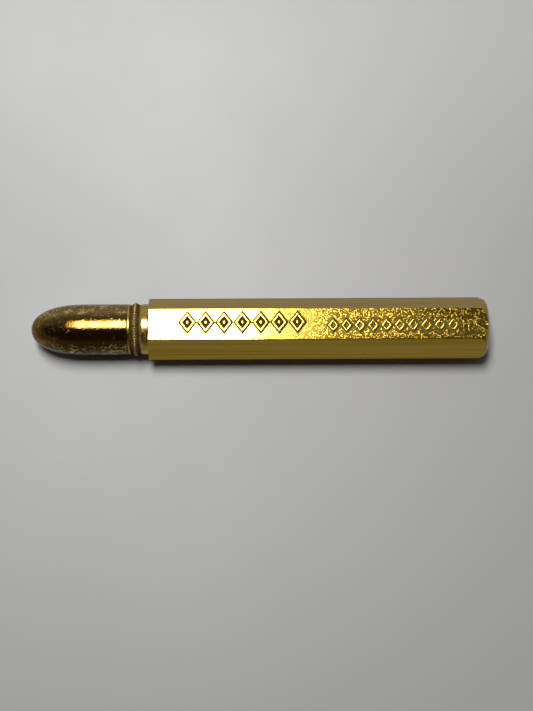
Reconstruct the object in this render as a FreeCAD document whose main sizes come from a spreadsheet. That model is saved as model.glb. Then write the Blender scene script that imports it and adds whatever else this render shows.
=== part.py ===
import FreeCAD, Part
import os
from math import cos, pi, sin, sqrt

import Sketcher
from FreeCAD import Placement, Rotation, Vector

# A pocket lead holder: a hexagonal sheet-brass barrel, and a round holder that pulls out of its mouth and
# goes back in either way round. Turning the bullet-shaped nose against the beaded ring feeds the lead.
#
# Every sub-part is drawn in the holder's own coordinates: X is the distance from the bullet's tip along
# the common axis, and Z points at the ornamented flat of the barrel. Its Placement then stands the whole
# object on the opposite flat, with the origin under the middle of its length.

DIMENSIONS = {
    # Whole object
    "total_length": 71.7,
    "across_flats": 8.46,
    # How far a cutting shape reaches past the metal that it cuts
    "spare": 0.3,
    # Barrel: hexagonal tube of drawn sheet, spun over at its far end
    "barrel_start": 18.5,
    "sheet_wall": 0.23,
    "end_rounding": 1.7,
    "end_hole_d": 5.0,
    "end_flange_d": 6.2,
    "end_flange_thick": 0.4,
    # Raised ornament on the upper flat: a row of large lozenges and a row of small ones
    "relief_height": 0.15,
    "relief_foot": 0.05,
    "relief_band": 0.45,
    "large_start": 23.5,
    "large_pitch": 2.85,
    "large_length": 2.5,
    "large_width": 3.2,
    "large_shift": 0.28,
    "large_count": 7,
    "small_start": 46.5,
    "small_pitch": 2.07,
    "small_length": 1.75,
    "small_width": 2.1,
    "small_shift": -0.27,
    "small_count": 10,
    # Bullet-shaped nose
    "bullet_d": 7.94,
    "bullet_length": 15.25,
    "bullet_wall": 0.35,
    "tip_radius": 3.1,
    "ogive_length": 8.2,
    "plug_start": 10.5,
    "nose_gap": 0.05,
    # Collar, grip ring and neck
    "hub_d": 7.4,
    "collar_waist_d": 7.66,
    "collar_step": 0.02,
    "ring_start": 15.9,
    "ring_end": 17.05,
    "ring_d": 8.44,
    "ring_fillet": 0.42,
    "bead_count": 56,
    "bead_cut_d": 0.3,
    "bead_cut_rise": 0.03,
    "neck_end": 31.0,
    "neck_groove_d": 7.66,
    "neck_groove_width": 0.3,
    "neck_chamfer": 0.25,
    "slit_start": 23.5,
    "slit_width": 0.4,
    # Bush and tail tube
    "bush_bore_d": 5.1,
    "bush_seat": 18.5,
    "bush_end": 21.0,
    "tail_d": 6.8,
    "tail_bore_d": 6.2,
    "tail_end": 44.0,
    # Drag washer and retaining ring
    "washer_d": 6.0,
    "washer_start": 18.55,
    "washer_thick": 0.3,
    "keeper_start": 18.9,
    "keeper_thick": 1.0,
    "keeper_d": 6.0,
    # Spiral tube, with a left-hand slot
    "spiral_d": 5.0,
    "spiral_bore_d": 4.4,
    "spiral_start": 12.0,
    "spiral_end": 38.0,
    "feed_pitch": 6.0,
    "feed_travel": 12.0,
    "slot_width": 1.15,
    "slot_overrun": 0.08,
    # Guide tube, with a straight slot
    "guide_d": 4.3,
    "guide_bore_d": 3.5,
    "guide_start": 20.5,
    "guide_end": 45.0,
    "guide_slot_width": 1.0,
    "guide_slot_spare": 0.75,
    # Nozzle
    "shank_start": 42.0,
    "cone_start": 45.6,
    "nozzle_end": 54.0,
    "nozzle_tip_d": 2.9,
    "nozzle_bore_d": 2.1,
    "nozzle_throat": 48.2,
    "nozzle_funnel": 0.7,
    "nozzle_chamfer": 0.15,
    # Carrier, pin, rod, socket and lead
    "carrier_d": 3.4,
    "carrier_start": 21.2,
    "carrier_end": 25.2,
    "pin_place": 23.0,
    "pin_d": 0.9,
    "pin_foot": 1.2,
    "pin_reach": 2.45,
    "rod_d": 1.4,
    "rod_start": 23.8,
    "rod_end": 33.0,
    "socket_d": 3.2,
    "socket_start": 31.5,
    "socket_end": 35.5,
    "socket_chamfer": 0.2,
    "lead_d": 2.0,
    "lead_end": 54.6,
    "lead_point": 1.1,
    "lead_point_d": 0.4,
}

doc = FreeCAD.newDocument("lead_holder")
dims = doc.addObject("Spreadsheet::Sheet", "dims")
for row, (alias, number) in enumerate(DIMENSIONS.items(), start=1):
    dims.set(f"A{row}", alias)
    dims.set(f"B{row}", str(number))
    dims.setAlias(f"B{row}", alias)
doc.recompute()

nodes = []


# ---------------------------------------------------------------- helpers


def bind(item, prop, expression):
    """Tie a property to an expression, in which a bare word after @ is a cell of the sheet."""
    item.setExpression(prop, expression.replace("@", "dims."))


def new_body(label, is_node=True):
    """Start a body that stands in the object's frame; a node is written to a file of its own."""
    body = doc.addObject("PartDesign::Body", label)
    body.Label = label
    if is_node:
        bind(body, "Placement.Base.x", "-@total_length / 2")
        bind(body, "Placement.Base.z", "@across_flats / 2")
        nodes.append(body)
    return body


def new_sketch(body, plane, offset="0"):
    """Attach a sketch to one of the body's origin planes, offset along the plane's normal."""
    sketch = body.newObject("Sketcher::SketchObject", f"{body.Name}_sketch")
    role = [feature for feature in body.Origin.OriginFeatures if feature.Role == plane]
    sketch.AttachmentSupport = [(role[0], "")]
    sketch.MapMode = "FlatFace"
    if offset != "0":
        bind(sketch, "AttachmentOffset.Base.z", offset)
    return sketch


def measure(sketch, kind, geometry, expression, position=1):
    """Hold a point at a distance from the sketch's origin, along X or Y; a leading minus turns it round."""
    if expression == "0":
        axis = -1 if kind == "DistanceY" else -2
        sketch.addConstraint(Sketcher.Constraint("PointOnObject", geometry, position, axis))
        return
    ends = (-1, 1, geometry, position)
    if expression.startswith("-"):
        ends = (geometry, position, -1, 1)
    point = sketch.getPoint(geometry, position)
    drawn = abs(point.x if kind == "DistanceX" else point.y)
    index = sketch.addConstraint(Sketcher.Constraint(kind, *ends, drawn))
    bind(sketch, f"Constraints[{index}]", expression.removeprefix("-"))


def draw_polygon(sketch, corners):
    """Draw a closed polygon; each corner is a pair of expressions, and the solver moves it into place."""
    first = sketch.GeometryCount
    count = len(corners)
    turns = [2 * pi * i / count for i in range(count)]
    start = [Vector(3 + cos(turn), 3 + sin(turn), 0) for turn in turns]
    for i in range(count):
        sketch.addGeometry(Part.LineSegment(start[i], start[(i + 1) % count]), False)
    for i in range(count):
        following = first + (i + 1) % count
        sketch.addConstraint(Sketcher.Constraint("Coincident", first + i, 2, following, 1))
    for i, (across, up) in enumerate(corners):
        measure(sketch, "DistanceX", first + i, across)
        measure(sketch, "DistanceY", first + i, up)


def draw_circle(sketch, diameter, across="0", up="0"):
    """Draw a circle of the given diameter about a measured centre."""
    index = sketch.addGeometry(Part.Circle(Vector(0.5, 0.5, 0), Vector(0, 0, 1), 1.0), False)
    size = sketch.addConstraint(Sketcher.Constraint("Diameter", index, 2.0))
    bind(sketch, f"Constraints[{size}]", diameter)
    if across == "0" and up == "0":
        sketch.addConstraint(Sketcher.Constraint("Coincident", index, 3, -1, 1))
        return
    measure(sketch, "DistanceX", index, across, 3)
    measure(sketch, "DistanceY", index, up, 3)


def draw_hexagon(sketch, across_flats):
    """Draw a regular hexagon about the origin, with two level sides."""
    corner = [Vector(cos(pi * i / 3), sin(pi * i / 3), 0) * 5 for i in range(6)]
    for i in range(6):
        sketch.addGeometry(Part.LineSegment(corner[i], corner[(i + 1) % 6]), False)
    rim = sketch.addGeometry(Part.Circle(Vector(0, 0, 0), Vector(0, 0, 1), 5.0), True)
    sketch.addConstraint(Sketcher.Constraint("Coincident", rim, 3, -1, 1))
    for i in range(6):
        sketch.addConstraint(Sketcher.Constraint("Coincident", i, 2, (i + 1) % 6, 1))
        sketch.addConstraint(Sketcher.Constraint("PointOnObject", i, 1, rim))
    for i in range(1, 6):
        sketch.addConstraint(Sketcher.Constraint("Equal", 0, i))
    sketch.addConstraint(Sketcher.Constraint("Horizontal", 1))
    size = sketch.addConstraint(Sketcher.Constraint("Diameter", rim, 10.0))
    bind(sketch, f"Constraints[{size}]", f"({across_flats}) * 2 / sqrt(3)")


def feature(body, kind, sketch, **settings):
    """Add a sketch-based feature to the body."""
    item = body.newObject(f"PartDesign::{kind}", f"{body.Name}_{kind.lower()}")
    item.Profile = sketch
    if kind in ("Revolution", "Groove"):
        item.ReferenceAxis = (sketch, ["H_Axis"])
        item.Angle = 360
    for name, setting in settings.items():
        if isinstance(setting, str) and name != "Type":
            bind(item, name, setting)
        else:
            setattr(item, name, setting)
    doc.recompute()
    return item


def cut(body, kind, sketch, **settings):
    """Add a feature that removes material, and make sure that it did."""
    before = body.Shape.Volume
    item = feature(body, kind, sketch, **settings)
    if body.Shape.Volume >= before:
        raise RuntimeError(f"{item.Name} of {body.Label} removes nothing")
    return item


def repeat_round(body, original, count):
    """Repeat a feature evenly round the long axis."""
    pattern = body.newObject("PartDesign::PolarPattern", f"{body.Name}_round")
    pattern.Originals = [original]
    pattern.Axis = ([item for item in body.Origin.OriginFeatures if item.Role == "X_Axis"][0], [""])
    pattern.Angle = 360
    bind(pattern, "Occurrences", count)
    body.Tip = pattern
    return pattern


def repeat_along(body, original, sketch, pitch, count):
    """Repeat a feature in a row along the long axis."""
    pattern = body.newObject("PartDesign::LinearPattern", f"{body.Name}_row")
    pattern.Originals = [original]
    pattern.Direction = (sketch, ["H_Axis"])
    bind(pattern, "Length", f"{pitch} * ({count} - 1)")
    bind(pattern, "Occurrences", count)
    body.Tip = pattern
    return pattern


def dress(body, kind, size, wanted):
    """Fillet or chamfer the circular edges of the tip feature that wanted picks by radius."""
    doc.recompute()
    base = body.Tip
    picked = []
    for index, edge in enumerate(base.Shape.Edges, start=1):
        curve = edge.Curve
        if isinstance(curve, Part.Circle) and wanted(curve.Radius):
            picked.append(f"Edge{index}")
    if not picked:
        raise RuntimeError(f"no edge of {body.Label} is there to {kind.lower()}")
    item = body.newObject(f"PartDesign::{kind}", f"{body.Name}_{kind.lower()}")
    item.Base = (base, picked)
    bind(item, "Radius" if kind == "Fillet" else "Size", size)
    return item


def turned(label, corners):
    """Turn a body from an outline whose corners are pairs (distance from the tip, radius)."""
    body = new_body(label)
    sketch = new_sketch(body, "XZ_Plane")
    draw_polygon(sketch, corners)
    feature(body, "Revolution", sketch)
    return body


def tube(label, start, end, outer, bore):
    """Turn a plain tube, or a solid rod where bore is 0."""
    inner = "0" if bore == "0" else f"{bore} / 2"
    corners = [(start, inner), (end, inner), (end, f"{outer} / 2"), (start, f"{outer} / 2")]
    return turned(label, corners)


def near(number, target):
    """Tell whether a length is the wanted one."""
    return abs(number - target) < 1e-4


# ---------------------------------------------------------------- barrel


def rounded_hexagon(label, is_node, shrink, start):
    """A hexagonal prism whose far end is turned round; shrink draws it in by the wall's thickness."""
    body = new_body(label, is_node)
    prism = new_sketch(body, "YZ_Plane", start)
    draw_hexagon(prism, f"@across_flats - 2 * {shrink}")
    feature(body, "Pad", prism, Length=f"@total_length - {shrink} - ({start})")

    # The turning removes everything outside a quarter round at the end of the prism.
    far = dims.total_length
    corner = dims.across_flats / sqrt(3)
    radius = dims.end_rounding
    spare = dims.spare
    sketch = new_sketch(body, "XZ_Plane")
    centre = Vector(far - radius, corner - radius, 0)
    quarter = Part.Circle(centre, Vector(0, 0, 1), radius)
    sketch.addGeometry(Part.ArcOfCircle(quarter, 0, pi / 2), False)
    outside = [
        Vector(far - radius, corner, 0),
        Vector(far - radius, corner + spare, 0),
        Vector(far + spare, corner + spare, 0),
        Vector(far + spare, corner - radius, 0),
        Vector(far, corner - radius, 0),
    ]
    for i in range(4):
        sketch.addGeometry(Part.LineSegment(outside[i], outside[i + 1]), False)
    sketch.addConstraint(Sketcher.Constraint("Coincident", 0, 2, 1, 1))
    for i in (1, 2, 3):
        sketch.addConstraint(Sketcher.Constraint("Coincident", i, 2, i + 1, 1))
    sketch.addConstraint(Sketcher.Constraint("Coincident", 4, 2, 0, 1))
    for i, way in ((1, "Vertical"), (2, "Horizontal"), (3, "Vertical"), (4, "Horizontal")):
        sketch.addConstraint(Sketcher.Constraint(way, i))
    measure(sketch, "DistanceX", 0, "@total_length - @end_rounding", 3)
    measure(sketch, "DistanceY", 0, "@across_flats / sqrt(3) - @end_rounding", 3)
    measure(sketch, "DistanceX", 0, f"@total_length - {shrink}", 1)
    measure(sketch, "DistanceY", 0, "@across_flats / sqrt(3) - @end_rounding", 1)
    measure(sketch, "DistanceX", 0, "@total_length - @end_rounding", 2)
    measure(sketch, "DistanceX", 2, "@total_length + @spare", 2)
    measure(sketch, "DistanceY", 2, "@across_flats / sqrt(3) + @spare", 2)
    cut(body, "Groove", sketch)
    return body


def add_ornament(body, group):
    """Raise a row of open lozenges on the upper flat; its foot reaches into the sheet."""
    sketch = new_sketch(body, "XY_Plane", "@across_flats / 2 - @relief_foot")
    bind(sketch, "AttachmentOffset.Base.y", f"@{group}_shift")
    middle = f"@{group}_start + @{group}_length / 2"
    for inset in ("0", "@relief_band"):
        half_length = f"(@{group}_length / 2 - {inset} * @{group}_length / @{group}_width)"
        half_width = f"(@{group}_width / 2 - {inset})"
        draw_polygon(sketch, [
            (f"{middle} - {half_length}", "0"),
            (middle, half_width),
            (f"{middle} + {half_length}", "0"),
            (middle, f"-{half_width}"),
        ])
    pad = feature(body, "Pad", sketch, Length="@relief_height + @relief_foot")
    repeat_along(body, pad, sketch, f"@{group}_pitch", f"@{group}_count")


barrel = rounded_hexagon("barrel_tube", True, "0", "@barrel_start")
add_ornament(barrel, "large")
add_ornament(barrel, "small")
hollow = rounded_hexagon("barrel_hollow", False, "@sheet_wall", "@barrel_start - @spare")
boolean = barrel.newObject("PartDesign::Boolean", "barrel_boolean")
boolean.Type = "Cut"
boolean.setObjects([hollow])
barrel.Tip = boolean
end_hole = new_sketch(barrel, "YZ_Plane", "@total_length")
draw_circle(end_hole, "@end_hole_d")
cut(barrel, "Pocket", end_hole, Length="@sheet_wall * 2")

turned("end_plug", [
    ("@total_length - @sheet_wall - @end_flange_thick", "0"),
    ("@total_length", "0"),
    ("@total_length", "@end_hole_d / 2"),
    ("@total_length - @sheet_wall", "@end_hole_d / 2"),
    ("@total_length - @sheet_wall", "@end_flange_d / 2"),
    ("@total_length - @sheet_wall - @end_flange_thick", "@end_flange_d / 2"),
])

# ---------------------------------------------------------------- collar, ring, neck, bush, tail

turned("front_collar", [
    ("@bullet_length + @nose_gap", "@hub_d / 2"),
    ("@ring_start", "@hub_d / 2"),
    ("@ring_start", "@collar_waist_d / 2"),
    ("@bullet_length + @nose_gap", "@bullet_d / 2 - @collar_step"),
])

ring = tube("beaded_ring", "@ring_start", "@ring_end", "@ring_d", "@hub_d")
dress(ring, "Fillet", "@ring_fillet", lambda radius: near(radius, dims.ring_d / 2))
bead_gap = new_sketch(ring, "YZ_Plane", "@ring_end + @spare")
draw_circle(bead_gap, "@bead_cut_d", "0", "@ring_d / 2 + @bead_cut_rise")
scallop = cut(ring, "Pocket", bead_gap, Length="@ring_end - @ring_start + 2 * @spare")
repeat_round(ring, scallop, "@bead_count")

neck = turned("neck_sleeve", [
    ("@ring_end", "@hub_d / 2"),
    ("@neck_end", "@hub_d / 2"),
    ("@neck_end", "@bullet_d / 2 - @neck_chamfer / 2"),
    ("@neck_end - @neck_chamfer", "@bullet_d / 2"),
    ("@ring_end + 2 * @neck_groove_width", "@bullet_d / 2"),
    ("@ring_end + @neck_groove_width", "@neck_groove_d / 2"),
    ("@ring_end", "@neck_groove_d / 2"),
])
slit = new_sketch(neck, "XY_Plane")
draw_polygon(slit, [
    ("@slit_start", "@slit_width / 2"),
    ("@neck_end + @spare", "@slit_width / 2"),
    ("@neck_end + @spare", "-@slit_width / 2"),
    ("@slit_start", "-@slit_width / 2"),
])
slit_pair = cut(neck, "Pocket", slit, Length="@bullet_d * 2", Midplane=True)
repeat_round(neck, slit_pair, "4")

turned("neck_bush", [
    ("@bullet_length + @nose_gap", "@bush_bore_d / 2"),
    ("@bush_seat", "@bush_bore_d / 2"),
    ("@bush_seat", "@tail_d / 2"),
    ("@bush_end", "@tail_d / 2"),
    ("@bush_end", "@hub_d / 2"),
    ("@bullet_length + @nose_gap", "@hub_d / 2"),
])

tube("tail_tube", "@bush_seat", "@tail_end", "@tail_d", "@tail_bore_d")

turned("nozzle", [
    ("@shank_start", "@guide_d / 2"),
    ("@guide_end", "@guide_d / 2"),
    ("@guide_end", "@guide_bore_d / 2"),
    ("@nozzle_throat", "@guide_bore_d / 2"),
    ("@nozzle_throat + @nozzle_funnel", "@nozzle_bore_d / 2"),
    ("@nozzle_end", "@nozzle_bore_d / 2"),
    ("@nozzle_end", "@nozzle_tip_d / 2 - @nozzle_chamfer"),
    ("@nozzle_end - @nozzle_chamfer", "@nozzle_tip_d / 2"),
    ("@cone_start", "@tail_d / 2"),
    ("@tail_end", "@tail_d / 2"),
    ("@tail_end", "@tail_bore_d / 2"),
    ("@shank_start", "@tail_bore_d / 2"),
])

guide = tube("guide_tube", "@guide_start", "@guide_end", "@guide_d", "@guide_bore_d")
guide_slot = new_sketch(guide, "XY_Plane")
draw_polygon(guide_slot, [
    ("@pin_place - @guide_slot_spare", "@guide_slot_width / 2"),
    ("@pin_place + @feed_travel + @guide_slot_spare", "@guide_slot_width / 2"),
    ("@pin_place + @feed_travel + @guide_slot_spare", "-@guide_slot_width / 2"),
    ("@pin_place - @guide_slot_spare", "-@guide_slot_width / 2"),
])
cut(guide, "Pocket", guide_slot, Length="@guide_d", Reversed=True)

# ---------------------------------------------------------------- nose


def bullet():
    """Turn the hollow bullet: a tip arc, an ogive arc and a straight side, and a bore that follows them."""
    body = new_body("bullet_shell")
    for kind, shrink in (("Revolution", "0"), ("Groove", "@bullet_wall")):
        sketch = new_sketch(body, "XZ_Plane")
        draw_bullet(sketch, shrink)
        if kind == "Revolution":
            feature(body, kind, sketch)
        else:
            cut(body, kind, sketch)


def draw_bullet(sketch, shrink):
    """Draw half of the bullet's outline, drawn in by shrink on its outside."""
    wall = 0.0 if shrink == "0" else dims.bullet_wall
    tip, side, meet = dims.tip_radius, dims.bullet_d / 2, dims.ogive_length
    ogive = (meet**2 - 2 * meet * tip + side**2) / (2 * (side - tip))
    lean = sqrt((meet - tip) ** 2 + (side - ogive) ** 2)
    touch = Vector((tip - meet) / lean, (ogive - side) / lean, 0)
    up = Vector(0, 0, 1)
    tip_arc = Part.Circle(Vector(tip, 0, 0), up, tip - wall)
    ogive_arc = Part.Circle(Vector(meet, side - ogive, 0), up, ogive - wall)
    angle = touch.getAngle(Vector(1, 0, 0))
    sketch.addGeometry(Part.ArcOfCircle(tip_arc, angle, pi), False)
    sketch.addGeometry(Part.ArcOfCircle(ogive_arc, pi / 2, angle), False)
    base = dims.bullet_length
    corners = [
        Vector(meet, side - wall, 0),
        Vector(base, side - wall, 0),
        Vector(base, 0, 0),
        Vector(wall, 0, 0),
    ]
    for i in range(3):
        sketch.addGeometry(Part.LineSegment(corners[i], corners[i + 1]), False)
    joins = ((0, 1, 1, 2), (1, 1, 2, 1), (2, 2, 3, 1), (3, 2, 4, 1), (4, 2, 0, 2))
    for first, end, second, start in joins[2:]:
        sketch.addConstraint(Sketcher.Constraint("Coincident", first, end, second, start))
    for first, end, second, start in joins[:2]:
        sketch.addConstraint(Sketcher.Constraint("Tangent", first, end, second, start))
    sketch.addConstraint(Sketcher.Constraint("Horizontal", 2))
    sketch.addConstraint(Sketcher.Constraint("Vertical", 3))
    sketch.addConstraint(Sketcher.Constraint("PointOnObject", 0, 2, -1))
    sketch.addConstraint(Sketcher.Constraint("PointOnObject", 3, 2, -1))
    sketch.addConstraint(Sketcher.Constraint("PointOnObject", 0, 3, -1))
    measure(sketch, "DistanceX", 0, "@tip_radius", 3)
    size = sketch.addConstraint(Sketcher.Constraint("Radius", 0, tip - wall))
    bind(sketch, f"Constraints[{size}]", f"@tip_radius - {shrink}")
    measure(sketch, "DistanceX", 2, "@ogive_length", 1)
    measure(sketch, "DistanceY", 2, f"@bullet_d / 2 - {shrink}", 1)
    measure(sketch, "DistanceX", 3, "@bullet_length", 1)


bullet()

turned("nose_plug", [
    ("@plug_start", "0"),
    ("@spiral_start", "0"),
    ("@spiral_start", "@spiral_d / 2"),
    ("@bullet_length", "@spiral_d / 2"),
    ("@bullet_length", "@bullet_d / 2 - @bullet_wall"),
    ("@plug_start", "@bullet_d / 2 - @bullet_wall"),
])

# The slot's helix starts before the pin's place at rest, so the tube is turned back by that overrun.
spiral = tube("spiral_tube", "@spiral_start", "@spiral_end", "@spiral_d", "@spiral_bore_d")
slot_section = new_sketch(spiral, "XZ_Plane")
slot_start = "@pin_place - @slot_overrun * @feed_pitch"
draw_polygon(slot_section, [
    (f"{slot_start} - @slot_width / 2", "@spiral_bore_d / 2 - @spare"),
    (f"{slot_start} + @slot_width / 2", "@spiral_bore_d / 2 - @spare"),
    (f"{slot_start} + @slot_width / 2", "@spiral_d / 2 + @spare"),
    (f"{slot_start} - @slot_width / 2", "@spiral_d / 2 + @spare"),
])
doc.recompute()
solid_tube = spiral.Shape.Volume
helix = spiral.newObject("PartDesign::SubtractiveHelix", "spiral_helix")
helix.Profile = slot_section
helix.ReferenceAxis = (slot_section, ["H_Axis"])
helix.Mode = "pitch-height-angle"
bind(helix, "Pitch", "@feed_pitch")
bind(helix, "Height", "@feed_travel + 2 * @slot_overrun * @feed_pitch")
helix.LeftHanded = True
spiral.Placement = Placement(Vector(), Rotation(Vector(1, 0, 0), 360 * dims.slot_overrun))
doc.recompute()
if spiral.Shape.Volume >= solid_tube:
    raise RuntimeError("the helix cuts no slot")

tube("drag_washer", "@washer_start", "@washer_start + @washer_thick", "@washer_d", "@bush_bore_d")
tube("retaining_ring", "@keeper_start", "@keeper_start + @keeper_thick", "@keeper_d", "@spiral_d")

# ---------------------------------------------------------------- lead and what pushes it

carrier = turned("lead_carrier", [
    ("@carrier_start", "0"),
    ("@rod_start", "0"),
    ("@rod_start", "@rod_d / 2"),
    ("@carrier_end", "@rod_d / 2"),
    ("@carrier_end", "@carrier_d / 2"),
    ("@carrier_start", "@carrier_d / 2"),
])
pin_hole = new_sketch(carrier, "XY_Plane", "-@pin_foot")
draw_circle(pin_hole, "@pin_d", "@pin_place")
cut(carrier, "Pocket", pin_hole, Length="@pin_reach + @pin_foot", Reversed=True)

pin = new_body("carrier_pin")
pin_round = new_sketch(pin, "XY_Plane", "-@pin_foot")
draw_circle(pin_round, "@pin_d", "@pin_place")
feature(pin, "Pad", pin_round, Length="@pin_foot + @pin_reach")

tube("push_rod", "@rod_start", "@rod_end", "@rod_d", "0")

turned("lead_socket", [
    ("@socket_start", "@rod_d / 2"),
    ("@rod_end", "@rod_d / 2"),
    ("@rod_end", "@lead_d / 2"),
    ("@socket_end", "@lead_d / 2"),
    ("@socket_end", "@socket_d / 2 - @socket_chamfer"),
    ("@socket_end - 2 * @socket_chamfer", "@socket_d / 2"),
    ("@socket_start", "@socket_d / 2"),
])

turned("lead", [
    ("@rod_end", "0"),
    ("@lead_end", "0"),
    ("@lead_end", "@lead_point_d / 2"),
    ("@lead_end - @lead_point", "@lead_d / 2"),
    ("@rod_end", "@lead_d / 2"),
])

# ---------------------------------------------------------------- check and write

doc.recompute()
failed = [item.Name for item in doc.Objects if "Invalid" in item.State or "Error" in item.State]
if failed:
    raise RuntimeError("failed objects: " + ", ".join(failed))

os.makedirs("parts", exist_ok=True)
for node in nodes:
    shape = node.Shape
    if shape.isNull() or not shape.isValid() or not shape.Solids:
        raise RuntimeError(f"{node.Label} has no valid solid")
    box = shape.optimalBoundingBox(True)
    print(f"{node.Label:16s} {len(shape.Solids)} solid, {shape.Volume:8.2f} mm3, "
          f"X {box.XMin:7.2f} to {box.XMax:7.2f}, Z {box.ZMin:6.2f} to {box.ZMax:6.2f}")
    shape.exportStep(f"parts/{node.Label}.step")
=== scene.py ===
import logging
import math
from dataclasses import dataclass, field
from enum import Enum
from typing import Callable, Iterable, Sequence

import bmesh
import bpy
from mathutils import Matrix, Vector


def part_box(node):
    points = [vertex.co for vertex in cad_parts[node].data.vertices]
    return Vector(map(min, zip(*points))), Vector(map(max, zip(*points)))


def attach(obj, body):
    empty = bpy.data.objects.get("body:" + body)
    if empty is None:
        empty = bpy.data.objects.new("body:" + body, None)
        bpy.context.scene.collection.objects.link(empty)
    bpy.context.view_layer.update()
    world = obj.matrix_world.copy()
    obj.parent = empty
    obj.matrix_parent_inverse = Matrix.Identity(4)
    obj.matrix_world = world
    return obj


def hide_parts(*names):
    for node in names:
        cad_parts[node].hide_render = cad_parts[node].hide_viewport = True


# Looks of a bullet-nosed pocket lead holder. Sizes are in millimetres until a mesh is finished, and places
# come from the frame: X runs along the common axis, from the bullet towards the barrel's closed end, and Z
# points out of the embossed flat. Places inside materials are in metres, because Object coordinates are.

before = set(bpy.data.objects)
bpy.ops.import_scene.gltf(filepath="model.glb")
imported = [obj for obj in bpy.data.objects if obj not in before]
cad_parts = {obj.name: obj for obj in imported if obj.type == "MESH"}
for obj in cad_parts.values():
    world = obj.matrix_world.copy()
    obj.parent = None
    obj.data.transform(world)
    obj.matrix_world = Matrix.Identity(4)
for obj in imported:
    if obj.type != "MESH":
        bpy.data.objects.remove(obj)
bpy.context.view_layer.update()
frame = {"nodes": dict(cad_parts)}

MM = 0.001
LOG = logging.getLogger("lead_holder")

# A point of an outline, the two ends of a fade or a mix, and a colour.
Point = tuple[float, float]
Band = tuple[float, float]
Color = tuple[float, float, float, float]


# ---------------------------------------------------------------- places


@dataclass(frozen=True)
class Span:
    """A CAD node's reach along the axis, its largest radius and its middle's height, in millimetres."""

    start: float
    end: float
    radius: float
    height: float

    @property
    def length(self) -> float:
        """Length along the axis."""
        return self.end - self.start

    @classmethod
    def of(cls, node: str) -> "Span":
        """Measure a node.

        Args:
            node: The node's name.

        Returns:
            Its span, with the radius taken across Z and height as the middle of its Z range.
        """
        low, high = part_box(node)
        return cls(low.x / MM, high.x / MM, (high.z - low.z) / 2 / MM, (high.z + low.z) / 2 / MM)


class Slot(Enum):
    """Names of material slots, which the pieces made here don't take."""

    BARREL = "barrel_brass"
    NOSE = "nose_bronze"
    GRIP = "grip_brass"
    FEED = "feed_brass"
    GRAPHITE = "graphite"


class Body(Enum):
    """The bodies that pieces ride on."""

    BARREL = "barrel"
    HOLDER = "holder"
    NOSE = "nose"
    FEED = "feed"


# ---------------------------------------------------------------- shader building


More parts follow.
